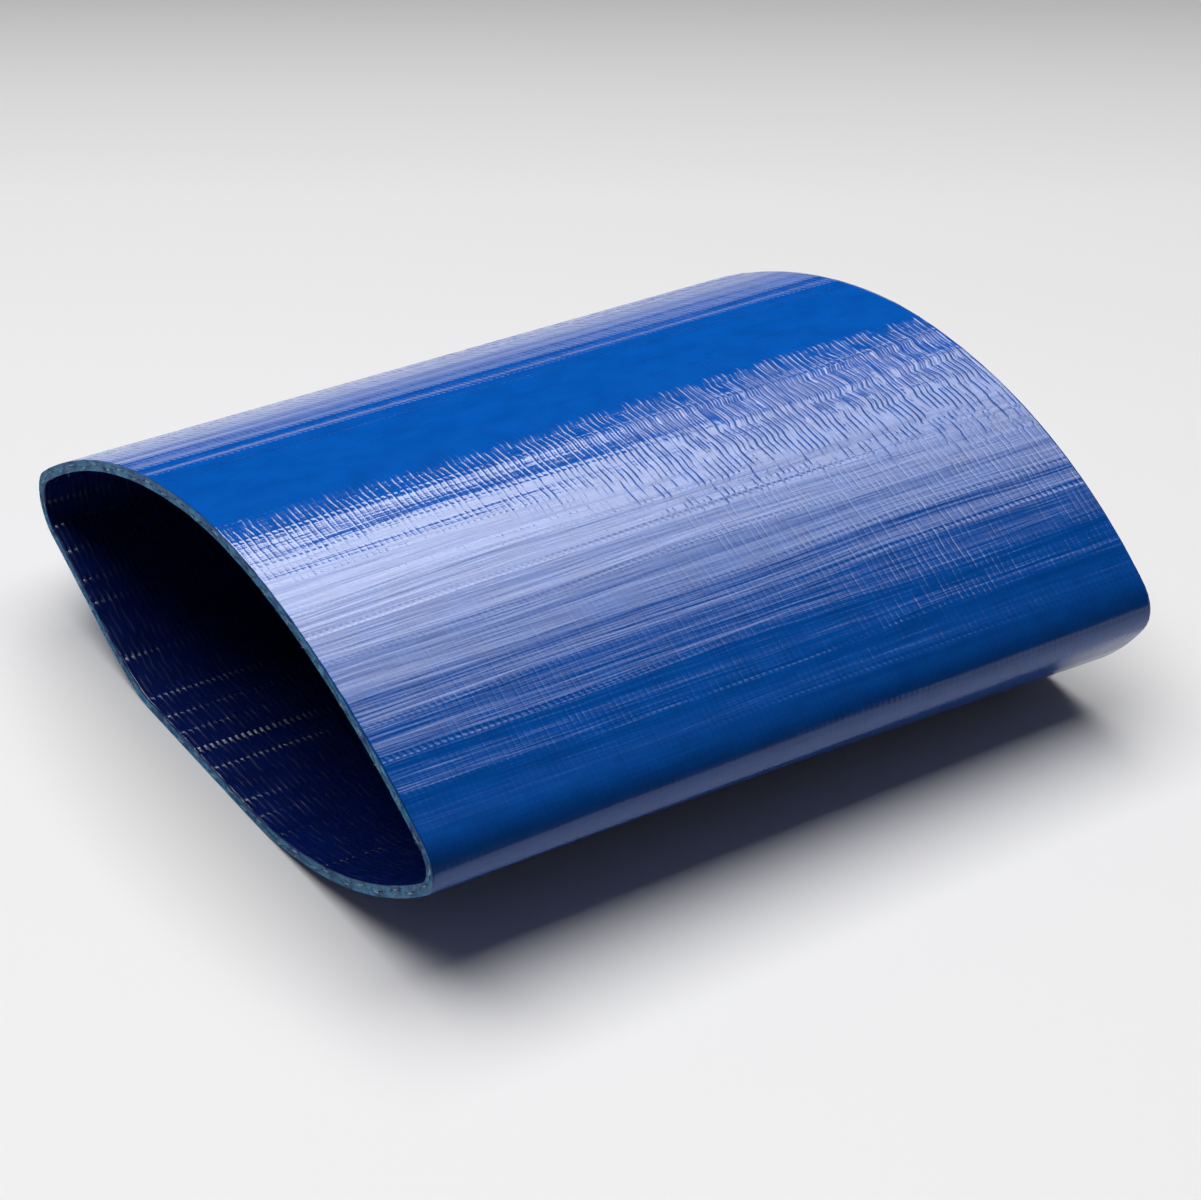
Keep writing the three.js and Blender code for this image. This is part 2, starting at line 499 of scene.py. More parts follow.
class Shader:
    """Builds the nodes of one material."""

    def __init__(self, name: str) -> None:
        """Makes an empty material with a Principled surface."""
        self.material = bpy.data.materials.new(name)
        self.material.use_nodes = True
        self.tree = self.material.node_tree
        self.tree.nodes.clear()
        self.surface = self.tree.nodes.new("ShaderNodeBsdfPrincipled")
        output = self.tree.nodes.new("ShaderNodeOutputMaterial")
        self.tree.links.new(self.surface.outputs["BSDF"], output.inputs["Surface"])

    def node(self, kind: str, inputs: dict | None = None, **settings: object) -> bpy.types.Node:
        """Adds a node.

        Args:
            kind: The node's type, without its ShaderNode prefix.
            inputs: Values or sockets for its inputs, by name or number.
            settings: Other settings of the node.

        Returns:
            The new node.
        """
        made = self.tree.nodes.new("ShaderNode" + kind)
        for name, value in settings.items():
            setattr(made, name, value)
        for key, value in (inputs or {}).items():
            self.set(made.inputs[key], value)
        return made

    def set(self, socket: bpy.types.NodeSocket, value: object) -> None:
        """Links a socket to another one, or gives it a constant value."""
        if isinstance(value, bpy.types.NodeSocket):
            self.tree.links.new(value, socket)
        else:
            socket.default_value = value

    def math(self, operation: str, *values: object, clamp: bool = False) -> bpy.types.NodeSocket:
        """The result of a Math node on sockets or numbers."""
        inputs = dict(enumerate(values))
        return self.node("Math", inputs, operation=operation, use_clamp=clamp).outputs[0]

    def noise(self, place: bpy.types.NodeSocket, scale: float, detail: float = 2.0,
              roughness: float = 0.5) -> bpy.types.NodeSocket:
        """Noise from 0 to 1 at that place."""
        inputs = {"Vector": place, "Scale": scale, "Detail": detail, "Roughness": roughness}
        return self.node("TexNoise", inputs).outputs[0]

    def stretched(self, place: bpy.types.NodeSocket, scale: tuple) -> bpy.types.NodeSocket:
        """A place scaled by a different number in each direction."""
        return self.node("Mapping", {"Vector": place, "Scale": scale}).outputs[0]

    def ramp(self, value: bpy.types.NodeSocket, stops: list) -> bpy.types.NodeSocket:
        """A colour from a value, by stops of (place, colour)."""
        made = self.node("ValToRGB", {"Fac": value})
        elements = made.color_ramp.elements
        while len(elements) < len(stops):
            elements.new(0.5)
        for element, (place, colour) in zip(elements, stops):
            element.position, element.color = place, colour
        return made.outputs[0]

    def spread(self, value: bpy.types.NodeSocket, low: float, high: float) -> bpy.types.NodeSocket:
        """A value of 0 to 1 spread over another range."""
        return self.node("MapRange", {"Value": value, "To Min": low, "To Max": high}).outputs[0]

    def between(self, value: bpy.types.NodeSocket, first: tuple,
                last: tuple) -> bpy.types.NodeSocket:
        """A straight line through two (value, result) pairs, held level beyond them."""
        inputs = {"Value": value, "From Min": first[0], "To Min": first[1],
                  "From Max": last[0], "To Max": last[1]}
        return self.node("MapRange", inputs).outputs[0]

    def off_whole(self, value: bpy.types.NodeSocket) -> bpy.types.NodeSocket:
        """How far a value is from the nearest whole number."""
        part = self.math("FRACT", self.math("ADD", value, 0.5))
        return self.math("ABSOLUTE", self.math("SUBTRACT", part, 0.5))

    def bump(self, height: bpy.types.NodeSocket, distance: float,
             under: bpy.types.NodeSocket | None = None, sunk: bool = False) -> bpy.types.NodeSocket:
        """A bumped normal.

        Args:
            height: The height, from 0 to 1.
            distance: What a height of 1 stands for, in metres.
            under: The normal that it is laid over, if any.
            sunk: Whether the height goes inwards.

        Returns:
            The normal.
        """
        inputs = {"Height": height, "Distance": distance}
        if under is not None:
            inputs["Normal"] = under
        return self.node("Bump", inputs, invert=sunk).outputs[0]


@dataclass(frozen=True)
class HosePvcFinish:
    """Glossy PVC over the weave, with fine weft grooves, dotted warp rows, a soft mottle and
    painted shade in the grooves.

    A place on the hose is its warp line and its weft ridge, so each scale of a noise is how fast
    it changes from line to line and from ridge to ridge. A range is what a noise of 0 to 1 is
    spread over. The rise and the fall say between which warp lines the lengthwise streaks are
    strong, and the wear how much duller the PVC is near to a crease.
    """

    name: str
    colour: tuple = (0.0009, 0.048, 0.232, 1.0)
    shade: tuple = (0.0006, 0.037, 0.186, 1.0)
    roughness: tuple = (0.065, 0.12)
    groove_depth: float = 0.000150
    groove_reach: float = 0.27
    groove_dulling: float = 0.80
    # How much the grooves darken the base colour: painted shade in the grooves.
    groove_painted_shade: float = 0.35
    dot_height: float = 0.000050
    dot_reach: float = 0.085
    peel_height: float = 0.000010
    fibre_height: float = 0.000012
    streak_height: float = 0.000190
    calm_streaks: float = 0.40
    ridge_height: float = 0.000016
    fold_wear: tuple = ((0.03, 0.12), (0.14, 0.0))
    side_rise: tuple = ((0.5, 0.0), (2.0, 1.0))
    side_fall: tuple = ((9.0, 1.0), (11.5, 0.0))
    dash_range: tuple = (-2.2, 4.0)
    row_range: tuple = (-1.3, 2.6)
    band_range: tuple = (-0.35, 1.5)
    tone_stops: tuple = (0.25, 0.62)
    ior: float = 1.43
    millimetre_scale: tuple = (6.3, 1.2, 1.0)
    dash_scale: tuple = (1.3, 0.9, 1.0)
    row_scale: tuple = (0.5, 0.012, 1.0)
    fibre_scale: tuple = (1.3, 5.5, 1.0)
    streak_scale: tuple = (3.2, 0.02, 1.0)
    band_scale: tuple = (0.9, 0.05, 1.0)
    mottle_scale: tuple = (1.4, 0.16, 1.0)

    def make(self) -> bpy.types.Material:
        """The material, which reads the hose_place and weft_strength of the faces it is on."""
        sheet = Shader(self.name)
        place = sheet.node("Attribute", attribute_name="hose_place").outputs["Vector"]
        axes = sheet.node("SeparateXYZ", {"Vector": place})
        lines = axes.outputs["X"]
        off_groove = sheet.off_whole(axes.outputs["Y"])
        groove = self.groove(sheet, place, off_groove)
        mottle = sheet.noise(sheet.stretched(place, self.mottle_scale), 1.0, 4.0, 0.6)
        # The colour is the random mottle of the PVC, darkened in the weft grooves as painted shade.
        tone = sheet.math("SUBTRACT", mottle, sheet.math("MULTIPLY", groove, self.groove_painted_shade),
                          clamp=True)
        sheet.set(sheet.surface.inputs["Base Color"],
                  sheet.ramp(tone, list(zip(self.tone_stops, (self.shade, self.colour)))))
        sheet.set(sheet.surface.inputs["Roughness"], self.dullness(sheet, place, lines, groove))
        normal = self.streaks(sheet, place, lines)
        relief = ((self.ridge(sheet, place, off_groove), self.ridge_height),
                  (self.peel(sheet, place), self.peel_height),
                  (sheet.noise(sheet.stretched(place, self.fibre_scale), 1.0, 3.0, 0.6),
                   self.fibre_height),
                  (self.dots(sheet, place, lines, off_groove), self.dot_height))
        for height, distance in relief:
            normal = sheet.bump(height, distance, normal)
        normal = sheet.bump(groove, self.groove_depth, normal, sunk=True)
        sheet.set(sheet.surface.inputs["Normal"], normal)
        sheet.surface.inputs["IOR"].default_value = self.ior
        return sheet.material

    def groove(self, sheet: Shader, place: bpy.types.NodeSocket,
               off_groove: bpy.types.NodeSocket) -> bpy.types.NodeSocket:
        """The grooves between weft turns, broken into dashes, as deep as the weft is strong."""
        strength = sheet.node("Attribute", attribute_name="weft_strength").outputs["Fac"]
        dashes = sheet.noise(sheet.stretched(place, self.dash_scale), 1.0, 1.0)
        cut = sheet.math("SUBTRACT", 1.0, sheet.math("DIVIDE", off_groove, self.groove_reach),
                         clamp=True)
        shown = sheet.math("MULTIPLY", strength, sheet.spread(dashes, *self.dash_range),
                           clamp=True)
        return sheet.math("MULTIPLY", cut, shown)

    def dots(self, sheet: Shader, place: bpy.types.NodeSocket, lines: bpy.types.NodeSocket,
             off_groove: bpy.types.NodeSocket) -> bpy.types.NodeSocket:
        """The rows of dots where weft turns cross some of the warp yarns."""
        on_line = sheet.math("SUBTRACT", 1.0,
                             sheet.math("DIVIDE", sheet.off_whole(lines), self.dot_reach),
                             clamp=True)
        rows = sheet.noise(sheet.stretched(place, self.row_scale), 1.0, 0.0)
        row = sheet.math("MULTIPLY", on_line, sheet.spread(rows, *self.row_range), clamp=True)
        return sheet.math("MULTIPLY", row, sheet.math("MULTIPLY", off_groove, 2.0))

    def peel(self, sheet: Shader, place: bpy.types.NodeSocket) -> bpy.types.NodeSocket:
        """The orange peel of the PVC."""
        return sheet.noise(sheet.stretched(place, self.millimetre_scale), 1.1, 3.0, 0.55)

    def streaks(self, sheet: Shader, place: bpy.types.NodeSocket,
                lines: bpy.types.NodeSocket) -> bpy.types.NodeSocket:
        """The normal of the lengthwise streaks, which are strongest on the right-hand side."""
        streaks = sheet.noise(sheet.stretched(place, self.streak_scale), 1.0, 3.0, 0.6)
        side = sheet.math("MULTIPLY", sheet.between(lines, *self.side_rise),
                          sheet.between(lines, *self.side_fall))
        height = sheet.math("MULTIPLY", streaks, sheet.spread(side, self.calm_streaks, 1.0))
        return sheet.bump(height, self.streak_height)

    def ridge(self, sheet: Shader, place: bpy.types.NodeSocket,
              off_groove: bpy.types.NodeSocket) -> bpy.types.NodeSocket:
        """The rounded weft ridges, which show in some bands more than in others."""
        bands = sheet.noise(sheet.stretched(place, self.band_scale), 1.0, 2.0)
        round_top = sheet.math("SINE", sheet.math("MULTIPLY", off_groove, math.pi))
        shown = sheet.spread(bands, *self.band_range)
        return sheet.math("MULTIPLY", round_top, shown, clamp=True)

    def dullness(self, sheet: Shader, place: bpy.types.NodeSocket, lines: bpy.types.NodeSocket,
                 groove: bpy.types.NodeSocket) -> bpy.types.NodeSocket:
        """The roughness, which is higher in the grooves and at the right-hand crease."""
        patches = sheet.noise(sheet.stretched(place, self.millimetre_scale), 0.35, 3.0)
        gloss = sheet.spread(patches, *self.roughness)
        dull = sheet.math("MULTIPLY", sheet.math("POWER", groove, 1.3), self.groove_dulling)
        off_fold = sheet.math("SINE", sheet.math("MULTIPLY", lines, math.pi / WARP_LINES))
        wear = sheet.between(off_fold, *self.fold_wear)
        return sheet.math("ADD", sheet.math("ADD", gloss, wear), dull, clamp=True)


@dataclass(frozen=True)
class CutFinish:
    """The cut edge of the PVC: matt, paler and slightly torn."""

    name: str
    pale: tuple = (0.045, 0.260, 0.46, 1.0)
    deep: tuple = (0.003, 0.045, 0.17, 1.0)
    torn_scale: float = 1500.0
    streak_scale: float = 420.0
    torn_height: float = 0.00040
    torn_share: float = 0.55
    streak_share: float = 0.45
    tone_stops: tuple = (0.40, 0.61)
    roughness: tuple = (0.55, 0.8)

    def make(self) -> bpy.types.Material:
        """The material, in object coordinates."""
        sheet = Shader(self.name)
        place = sheet.node("TexCoord").outputs["Object"]
        torn = sheet.noise(place, self.torn_scale, 4.0, 0.7)
        streaks = sheet.noise(place, self.streak_scale, 3.0, 0.6)
        mixed = sheet.math("ADD", sheet.math("MULTIPLY", torn, self.torn_share),
                           sheet.math("MULTIPLY", streaks, self.streak_share))
        sheet.set(sheet.surface.inputs["Base Color"],
                  sheet.ramp(mixed, list(zip(self.tone_stops, (self.deep, self.pale)))))
        sheet.set(sheet.surface.inputs["Roughness"], sheet.spread(torn, *self.roughness))
        sheet.set(sheet.surface.inputs["Normal"], sheet.bump(torn, self.torn_height))
        return sheet.material


@dataclass(frozen=True)
class YarnFinish:
    """Twisted polyester filaments, tinted blue by the PVC that they are set in."""

    name: str
    light: tuple = (0.30, 0.44, 0.58, 1.0)
    dark: tuple = (0.07, 0.18, 0.34, 1.0)
    twist: float = 0.0016
    filaments: float = 9.0
    lint_scale: float = 2600.0
    filament_height: float = 0.00006
    wave_share: float = 1.1
    lint_share: float = 0.45
    tone_stops: tuple = (0.15, 0.75)
    roughness: tuple = (0.45, 0.7)
    sheen: float = 0.25

    def make(self) -> bpy.types.Material:
        """The material, which reads the yarn_place of the faces it is on."""
        sheet = Shader(self.name)
        place = sheet.node("Attribute", attribute_name="yarn_place").outputs["Vector"]
        axes = sheet.node("SeparateXYZ", {"Vector": place})
        turned = sheet.math("ADD", sheet.math("MULTIPLY", axes.outputs["X"], self.filaments),
                            sheet.math("DIVIDE", axes.outputs["Y"], self.twist))
        wave = sheet.math("ABSOLUTE", sheet.math("SUBTRACT", sheet.math("FRACT", turned), 0.5))
        lint = sheet.noise(sheet.node("TexCoord").outputs["Object"], self.lint_scale, 3.0, 0.6)
        tone = sheet.math("ADD", sheet.math("MULTIPLY", wave, self.wave_share),
                          sheet.math("MULTIPLY", lint, self.lint_share), clamp=True)
        sheet.set(sheet.surface.inputs["Base Color"],
                  sheet.ramp(tone, list(zip(self.tone_stops, (self.dark, self.light)))))
        sheet.set(sheet.surface.inputs["Roughness"], sheet.spread(lint, *self.roughness))
        sheet.set(sheet.surface.inputs["Normal"], sheet.bump(tone, self.filament_height))
        sheet.surface.inputs["Sheen Weight"].default_value = self.sheen
        return sheet.material


@dataclass(frozen=True)
class PaleFinish:
    """A plain matt surface for the floor, painted darker away behind the hose as painted shade
    where the light falls off.

    Far from the hose it gives off a little light, so that it stays pale from every side.
    """

    name: str = "pale_floor"
    tint: tuple = (1.0, 1.0, 1.01)
    behind: tuple = (-0.8378, 0.5460, 0.0)
    lift: float = 0.66
    lift_from: float = 0.45
    lift_to: float = 1.60
    near_edge: float = -0.20
    far_edge: float = 0.40
    roughness: float = 0.9
    specular: float = 0.1
    # The floor's colour by share behind the hose: painted shade where the light falls off.
    levels: tuple = ((0.0, 0.80), (0.50, 0.80), (0.69, 0.78), (0.752, 0.73), (0.798, 0.69),
                     (0.847, 0.63), (0.898, 0.55), (0.927, 0.50), (1.0, 0.44))

    def make(self) -> bpy.types.Material:
        """The material, which fades with the distance behind the hose."""
        sheet = Shader(self.name)
        place = sheet.node("TexCoord").outputs["Object"]
        away = sheet.node("VectorMath", {0: place, 1: self.behind},
                          operation="DOT_PRODUCT").outputs["Value"]
        # The share behind the hose drives the painted shade of the floor's colour.
        share = sheet.between(away, (self.near_edge, 0.0), (self.far_edge, 1.0))
        stops = [(at, (*(level * part for part in self.tint), 1.0)) for at, level in self.levels]
        sheet.set(sheet.surface.inputs["Base Color"], sheet.ramp(share, stops))
        distance = sheet.node("VectorMath", {0: place}, operation="LENGTH").outputs["Value"]
        glow = sheet.between(distance, (self.lift_from, 0.0), (self.lift_to, self.lift))
        sheet.surface.inputs["Emission Color"].default_value = (1.0, 1.0, 1.0, 1.0)
        sheet.set(sheet.surface.inputs["Emission Strength"], glow)
        sheet.material.cycles.emission_sampling = "NONE"
        sheet.surface.inputs["Roughness"].default_value = self.roughness
        sheet.surface.inputs["Specular IOR Level"].default_value = self.specular
        return sheet.material


@dataclass(frozen=True)
class Glow:
    """A surface that only shines, with its brightness by stops across it.

    The fan and the dimming, where it has them, are pairs of a share along it and a factor: of the
    place across it, so that the stops draw together, and of the brightness.
    """

    name: str
    stops: tuple
    full: float
    tint: tuple = (1.0, 1.0, 1.0)
    fan: tuple | None = None
    dimming: tuple | None = None

    def make(self) -> bpy.types.Material:
        """The material, in the object's generated coordinates."""
        sheet = Shader(self.name)
        glow = sheet.node("Emission")
        place = sheet.node("TexCoord").outputs["Generated"]
        axes = sheet.node("SeparateXYZ", {"Vector": place})
        across, along = axes.outputs["X"], axes.outputs["Y"]
        if self.fan:
            across = sheet.math("MULTIPLY", across, sheet.between(along, *self.fan))
        stops = [(at, (*(level * part for part in self.tint), 1.0)) for at, level in self.stops]
        sheet.set(glow.inputs["Color"], sheet.ramp(across, stops))
        strength = self.full
        if self.dimming:
            strength = sheet.math("MULTIPLY", sheet.between(along, *self.dimming), self.full)
        sheet.set(glow.inputs["Strength"], strength)
        output = sheet.tree.nodes["Material Output"]
        sheet.tree.links.new(glow.outputs[0], output.inputs["Surface"])
        return sheet.material


# ---------------------------------------------------------------- mesh helpers


@dataclass
class MeshDraft:
    """Vertices and faces that are gathered up into one mesh object."""

    askew: tuple = (0.31, 0.27, 0.91)
    points: list = field(default_factory=list)
    quads: list = field(default_factory=list)
    finish_of_quad: list = field(default_factory=list)
    count: int = 0

    def grid(self, points: np.ndarray, finish: np.ndarray | int = 0, wrap_rows: bool = False,
             wrap_columns: bool = False) -> None:
        """Adds a grid of quads.

        Args:
            points: Rows by columns by x, y and z.
            finish: The material number of every face, or of each row of faces.
            wrap_rows: Whether the last row joins the first.
            wrap_columns: Whether the last column joins the first.
        """
        rows, columns = points.shape[:2]
        row = np.arange(rows if wrap_rows else rows - 1)
        column = np.arange(columns if wrap_columns else columns - 1)
        i, j = np.meshgrid(row, column, indexing="ij")
        below, beside = (i + 1) % rows, (j + 1) % columns
        number = [i * columns + j, i * columns + beside, below * columns + beside,
                  below * columns + j]
        quads = np.stack(number, axis=-1).reshape(-1, 4) + self.count
        each = np.broadcast_to(np.asarray(finish).reshape(-1, 1) if np.ndim(finish) else finish,
                               i.shape)
        self.points.append(points.reshape(-1, 3))
        self.quads.append(quads)
        self.finish_of_quad.append(each.reshape(-1))
        self.count += rows * columns

    def cap(self, corners: list[int]) -> None:
        """Adds one face through four vertices, the last the same as the first for a triangle."""
        self.quads.append(np.array([corners]))
        self.finish_of_quad.append(np.array([0]))

    def hair(self, path: np.ndarray, radii: tuple) -> None:
        """Adds a thin closed filament with three sides, kept clear of the floor.

        Args:
            path: Points along its middle.
            radii: Its radius at each point.
        """
        path[:, 2] = np.maximum(path[:, 2], HAIR_FLOOR_GAP)
        along = np.gradient(path, axis=0)
        along /= np.linalg.norm(along, axis=1)[:, None]
        aside = np.cross(along, np.array(self.askew))
        aside /= np.linalg.norm(aside, axis=1)[:, None]
        other = np.cross(along, aside)
        angle = np.linspace(0.0, 2 * math.pi, 3, endpoint=False)
        ring = (aside[:, None] * np.cos(angle)[:, None] + other[:, None] * np.sin(angle)[:, None])
        first = self.count
        self.grid(path[:, None] + ring * np.array(radii)[:, None, None], wrap_columns=True)
        for start, order in ((first, -1), (self.count - 3, 1)):
            corners = [start, start + 1, start + 2][::order]
            self.cap(corners + corners[:1])

    def build(self, name: str, finishes: list[bpy.types.Material]) -> bpy.types.Object:
        """Makes the object, smooth all over.

        Args:
            name: The object's name.
            finishes: The materials, in the order of their numbers.

        Returns:
            The object.
        """
        mesh = bpy.data.meshes.new(name)
        points, quads = np.vstack(self.points), np.vstack(self.quads)
        faces = [q[:3] if q[0] == q[3] else q for q in quads.tolist()]
        mesh.from_pydata(points.tolist(), [], faces)
        mesh.polygons.foreach_set("use_smooth", np.ones(len(faces), bool))
        mesh.polygons.foreach_set("material_index", np.concatenate(self.finish_of_quad).astype(int))
        for finish in finishes:
            mesh.materials.append(finish)
        mesh.validate()
        mesh.update()
        made = bpy.data.objects.new(name, mesh)
        bpy.context.scene.collection.objects.link(made)
        return made


def corner_values(piece: bpy.types.Object, name: str, values: np.ndarray,
                  wrap: float = 0.0) -> None:
    """Keeps a vector for each corner of the faces, closing up over the seam round the hose.

    Args:
        piece: The object whose mesh takes the values.
        name: The attribute's name.
        values: One vector for each vertex.
        wrap: How much the first value jumps over the seam, or 0 where it has no seam.
    """
    mesh = piece.data
    vertex = np.zeros(len(mesh.loops), int)
    mesh.loops.foreach_get("vertex_index", vertex)
    each = values[vertex]
    if wrap:
        start = np.zeros(len(mesh.polygons), int)
        total = np.zeros(len(mesh.polygons), int)
        mesh.polygons.foreach_get("loop_start", start)
        mesh.polygons.foreach_get("loop_total", total)
        owner = np.repeat(np.arange(len(start)), total)
        highest = np.full(len(start), -np.inf)
        np.maximum.at(highest, owner, each[:, 0])
        each[:, 0] += np.where(highest[owner] - each[:, 0] > wrap / 2, wrap, 0.0)
    kept = mesh.attributes.new(name, "FLOAT_VECTOR", "CORNER")
    kept.data.foreach_set("vector", each.astype(np.float32).ravel())


def point_values(piece: bpy.types.Object, name: str, values: np.ndarray) -> None:
    """Keeps a number for each vertex."""
    kept = piece.data.attributes.new(name, "FLOAT", "POINT")
    kept.data.foreach_set("value", values.astype(np.float32).ravel())


def settle(piece: bpy.types.Object, slot: Slot, *nodes: str) -> None:
    """Rides a piece on the hose and hides the CAD nodes that it stands for."""
    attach(piece, "root")
    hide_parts(*nodes)
    LOG.info("%s: %d faces", piece.name, len(piece.data.polygons))


# ---------------------------------------------------------------- the layers of the wall


@dataclass
class WallSkin:
    """One PVC layer: a fine face with the weave printed in it, a plain hidden face and two cuts."""

    name: str
    node: str
    slot: Slot
    weave: Weave
    face_depth: float
    back_depth: float
    inwards: bool
    print_share: float
    groove_share: float
    row_dots: float
    finish: HosePvcFinish
    cut: CutFinish
    own_lines: int
    back_between: float
    back_at_cut: tuple
    rim_rows: tuple = (0.04, 0.14, 0.34, 0.58, 0.80, 0.96)
    rim_tear: float = 0.00024
    seed: int = 31
    rear_seed_step: int = 7
    column_offsets: tuple = (-0.160, 0.0, 0.160, 0.387, 0.613)
    column_gaps: tuple = (0.0, 0.0, 0.0, 0.333, 0.667)
    column_bumps: tuple = (0.35, 1.0, 0.35, -0.55, -0.55)
    rows_in_ridge: tuple = (0.0, 0.33, 0.67)
    back_rows: int = 13
    back_margin: float = 0.009
    end_calm: float = 0.004

    def columns(self) -> tuple[np.ndarray, np.ndarray, np.ndarray]:
        """The columns of the mesh, which keep to the warp lines.

        Returns:
            Each column's warp line, its distance from that line in lines, and its bump.
        """
        per_line = len(self.column_offsets)
        line = np.repeat(np.arange(WARP_LINES), per_line)
        offset = np.tile(self.column_offsets, WARP_LINES)
        return line, offset, np.tile(self.column_bumps, WARP_LINES)

    def turns(self, share: np.ndarray) -> np.ndarray:
        """The turn of every column, at rows given by their share along the hose."""
        line, offset, _ = self.columns()
        gap = np.tile(self.column_gaps, WARP_LINES)
        flank = self.column_offsets[2] / WARP_LINES
        here, after = self.weave.line_turn(line, share), self.weave.line_turn(line + 1, share)
        near = np.where(gap > 0.0, flank, offset / WARP_LINES)
        return here + near + gap * (after - here - 2 * flank)

    def rim(self, share: float, sign: float, turn: np.ndarray, front: np.ndarray,
            back: np.ndarray) -> np.ndarray:
        """The rows of one cut, from the fine face to the hidden one.

        Args:
            share: 0 for the front cut and 1 for the rear one.
            sign: The way out of the hose along it, -1 in front and 1 behind.
            turn: The turn of each column.
            front: The depth of the fine face at each column.
            back: The depth of the hidden face at each column.

        Returns:
            The points, rows by columns.
        """
        draw = np.random.default_rng(self.seed + (self.rear_seed_step if share else 0))
        rows = []
        for level in self.rim_rows:
            tear = draw.uniform(-1.0, 0.0, turn.size)
            tear = (tear + 0.5 * np.roll(tear, 1) + 0.5 * np.roll(tear, -1)) / 2
            out = self.rim_tear * tear * (0.5 + math.sin(math.pi * level))
            depth = front + (back - front) * level
            spot = self.weave.shape.place(turn, np.full(turn.size, share), depth)
            spot[:, 1] += sign * out
            rows.append(spot)
        return np.array(rows)

    def build(self) -> bpy.types.Object:
        """Makes the layer and returns it."""
        weave, shape = self.weave, self.weave.shape
        line, offset, bump = self.columns()
        ridge = (np.arange(WEFT_RIDGES)[:, None] + np.array(self.rows_in_ridge)).reshape(-1)
        ridge = np.append(ridge, WEFT_RIDGES)[:, None]
        straight = ridge / WEFT_RIDGES
        turn = self.turns(straight)
        share = weave.weft_share(ridge, turn)
        in_groove = np.isclose(ridge % 1.0, 0.0)
        lift = self.print_share * weave.print_height(line, bump, turn, share)
        lift = lift + self.row_dots * np.where(in_groove, 0.0, np.maximum(bump, 0.0) ** 2)
        lift = lift + np.where(in_groove, -self.groove_share * weave.groove_depth(turn, share),
                               weave.swell * weave.dash.at(turn, share))
        ends = np.minimum(smooth_step(0.0, self.end_calm, straight),
                          smooth_step(0.0, self.end_calm, 1 - straight))
        lift = lift * (0.3 + 0.7 * ends)
        face = self.face_depth + (lift if self.inwards else -lift)
        outer = shape.place(turn, share, face)
        outer[..., 2] = np.maximum(outer[..., 2], FLOOR_GAP)
        over_own, over_other = (line % 2 == self.own_lines) & (bump > 0), bump > 0
        at_cut = np.select([over_own, over_other], self.back_at_cut[:2], self.back_at_cut[2])
        back_share = np.linspace(1.0 - self.back_margin, self.back_margin, self.back_rows - 2)
        back_share = np.r_[1.0, back_share, 0.0][:, None]
        at_end = (back_share == 0.0) | (back_share == 1.0)
        back = np.where(at_end, at_cut, np.where(over_own, self.back_depth, self.back_between))
        back_turn = self.turns(back_share)
        hidden = shape.place(back_turn, back_share, back)
        rear = self.rim(1.0, 1.0, turn[-1], face[-1], at_cut)
        front = self.rim(0.0, -1.0, turn[0], face[0], at_cut)[::-1]
        whole = np.concatenate([outer, rear, hidden, front])
        rows = [0] * (len(outer) - 1) + [1] * (len(rear) + 1) + [2] * (len(hidden) - 1)
        rows += [1] * (len(front) + 1)
        if self.inwards:
            whole = whole[:, ::-1]
        draft = MeshDraft()
        draft.grid(whole, np.array(rows), wrap_rows=True, wrap_columns=True)
        piece = draft.build(self.name, [self.finish.make(), self.cut.make(),
                                        replace(self.finish, name=self.name + "_back").make()])
        self.keep_places(piece, ridge, turn, share, offset, line, len(whole) - len(outer))
        settle(piece, self.slot, self.node)
        return piece

    def keep_places(self, piece: bpy.types.Object, ridge: np.ndarray, turn: np.ndarray,
                    share: np.ndarray, offset: np.ndarray, line: np.ndarray, rest: int) -> None:
        """Keeps each vertex's warp line, weft line and weft strength for the finish.

        Args:
            piece: The new layer.
            ridge: The weft line of each row of the fine face.
            turn: The turn of each of its vertices.
            share: The share along the hose of each of its vertices.
            offset: Each column's distance from its warp line, in lines.
            line: Each column's warp line.
            rest: How many more rows the mesh has.
        """
        places = np.zeros((len(ridge) + rest, line.size, 3))
        places[..., 0] = line + offset
        places[:len(ridge), :, 1] = ridge
        places[len(ridge):, :, 1] = np.linspace(WEFT_RIDGES, 0.0, rest)[:, None]
        strong = np.zeros(places.shape[:2])
        strong[:len(ridge)] = self.weave.strength(turn, share)
        if self.inwards:
            places, strong = places[:, ::-1], strong[:, ::-1]
        corner_values(piece, "hose_place", places.reshape(-1, 3), wrap=float(WARP_LINES))
        point_values(piece, "weft_strength", strong)


